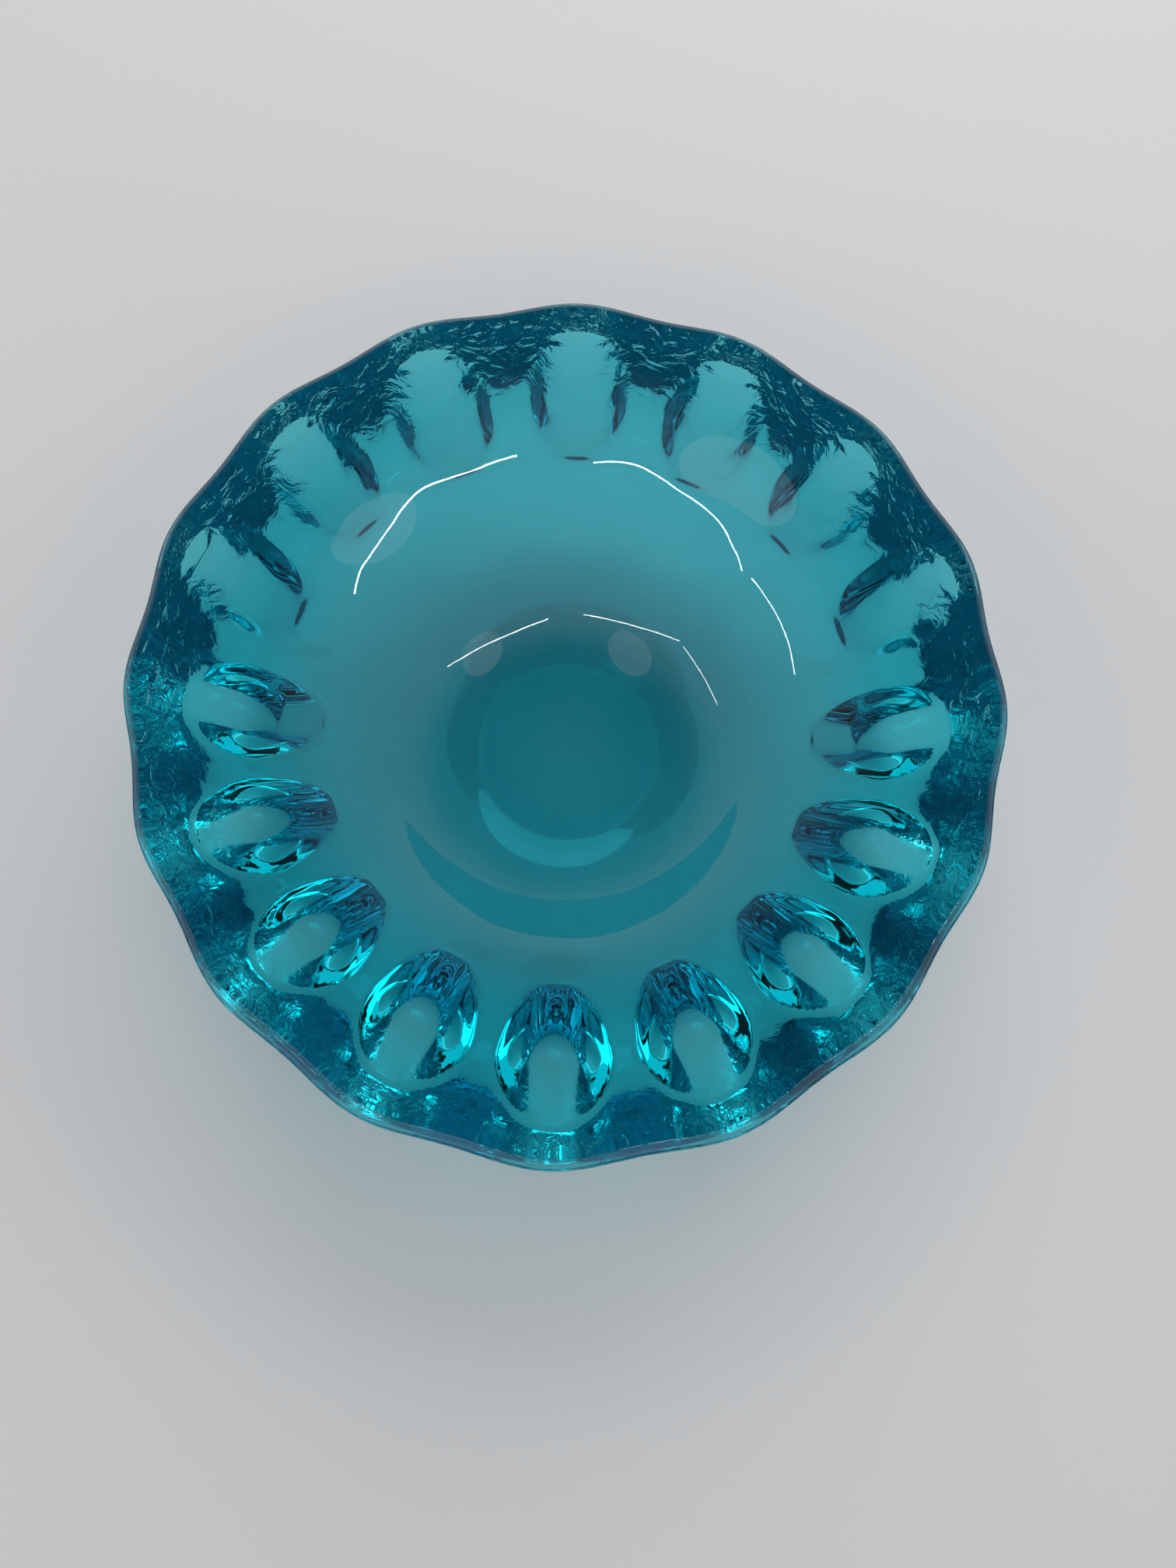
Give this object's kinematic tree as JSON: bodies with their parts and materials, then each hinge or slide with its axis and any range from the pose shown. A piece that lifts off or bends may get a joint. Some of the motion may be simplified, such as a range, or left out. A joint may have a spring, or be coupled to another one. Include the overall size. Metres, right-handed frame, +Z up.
{
  "type": "glass dish",
  "caption": "Heavy round glass dish with a smooth well, a thick scalloped rim and a ring of oval thumbprint hollows pressed into the outside of its wall.",
  "frame": {"origin": "centre of the flat polished disc that the dish stands on", "axes": "+Z up out of the well, +X through the middle of one scallop to within two degrees, -Y towards the side that was nearest in the reference picture"},
  "size_m": [0.1504, 0.1501, 0.0443],
  "materials": {
    "teal_glass": "fire-polished, smooth and clear all over, with a ground and polished disc underneath"
  },
  "bodies": {
    "root": {"glass_dish": "teal_glass"}
  },
  "joints": []
}
